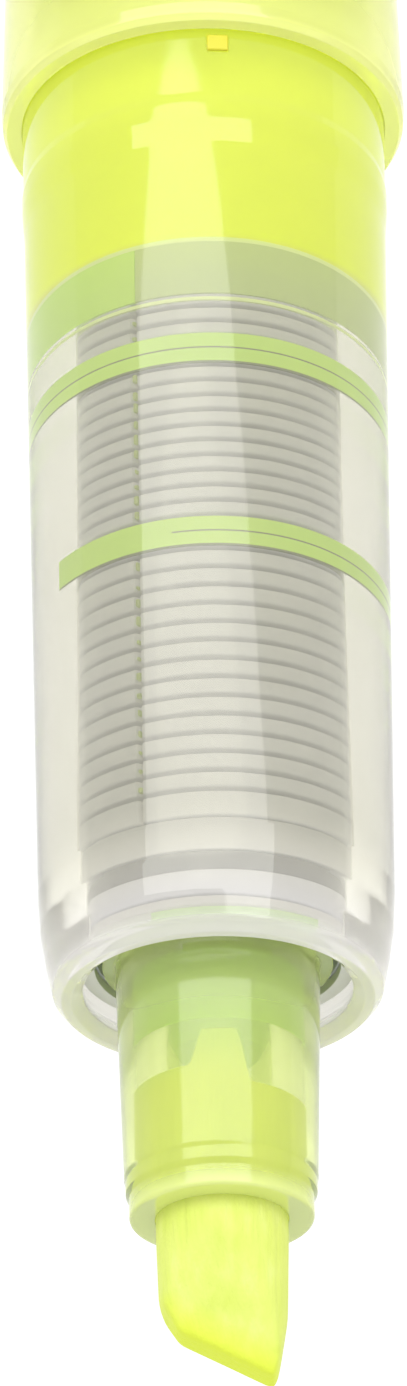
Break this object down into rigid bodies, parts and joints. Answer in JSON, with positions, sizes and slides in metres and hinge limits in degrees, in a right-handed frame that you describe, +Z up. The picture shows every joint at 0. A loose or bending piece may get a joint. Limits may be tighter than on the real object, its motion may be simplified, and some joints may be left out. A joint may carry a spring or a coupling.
{
  "type": "retractable highlighter",
  "caption": "Slim free-ink highlighter with a clear front section showing its ribbed ink comb, a translucent yellow barrel, a chisel nib, a push button and a pocket clip.",
  "frame": {"origin": "on the surface it lies on, under the middle of its length, below the pen's axis", "axes": "+Y along the pen's axis, towards the push button; +Z up, towards the pocket clip; +X to the right seen from the nib's end"},
  "size_m": [0.013, 0.136, 0.0152],
  "materials": {
    "clear_plastic": "clear, polished",
    "translucent_yellow": "translucent, polished",
    "holder_plastic": "clear, tinted by ink",
    "comb_plastic": "satin",
    "grey_plastic": "satin",
    "yellow_plastic": "glossy",
    "ink": "wet",
    "nib_fibre": "matt bonded fibre",
    "seal_rubber": "matt",
    "spring_steel": "bright drawn wire"
  },
  "bodies": {
    "casing": {"front_section": "clear_plastic", "barrel": "translucent_yellow", "section_seal": "seal_rubber", "collector": "comb_plastic", "nose_bush": "comb_plastic", "nose_seal": "seal_rubber", "wiper_seal": "seal_rubber", "ink_charge": "ink", "guide_tube": "comb_plastic", "tank_plug": "comb_plastic", "plug_seal": "seal_rubber", "cam_guide": "grey_plastic", "end_cap": "yellow_plastic", "return_spring": "spring_steel"},
    "carrier": {"nib": "nib_fibre", "nib_holder": "holder_plastic", "feed_wick": "nib_fibre", "carrier_piston": "grey_plastic", "carrier_seal": "seal_rubber", "push_rod": "grey_plastic", "spring_collar": "grey_plastic"},
    "rotor": {"cam_rotor": "yellow_plastic"},
    "button": {"push_button": "grey_plastic", "button_cap": "yellow_plastic"},
    "clip": {"pocket_clip": "yellow_plastic"}
  },
  "joints": [
    {"name": "nib_slide", "type": "slide", "parent": "casing", "child": "carrier", "axis": [0, 1, 0], "range_m": [-0.001, 0.013], "deforming": ["return_spring"]},
    {"name": "cam_turn", "type": "hinge", "parent": "carrier", "child": "rotor", "pos_m": [0, 0.0345, 0.00653], "axis": [0, 1, 0], "continuous": true},
    {"name": "button_slide", "type": "slide", "parent": "casing", "child": "button", "axis": [0, 1, 0], "range_m": [-0.001, 0.013]},
    {"name": "clip_flex", "type": "hinge", "parent": "casing", "child": "clip", "pos_m": [0, 0.0595, 0.01413], "axis": [-1, 0, 0], "range_deg": [0, 5], "stiffness_Nm_per_rad": 2}
  ],
  "couplings": [
    {"joint": "button_slide", "follows": "nib_slide", "ratio": 1}
  ]
}
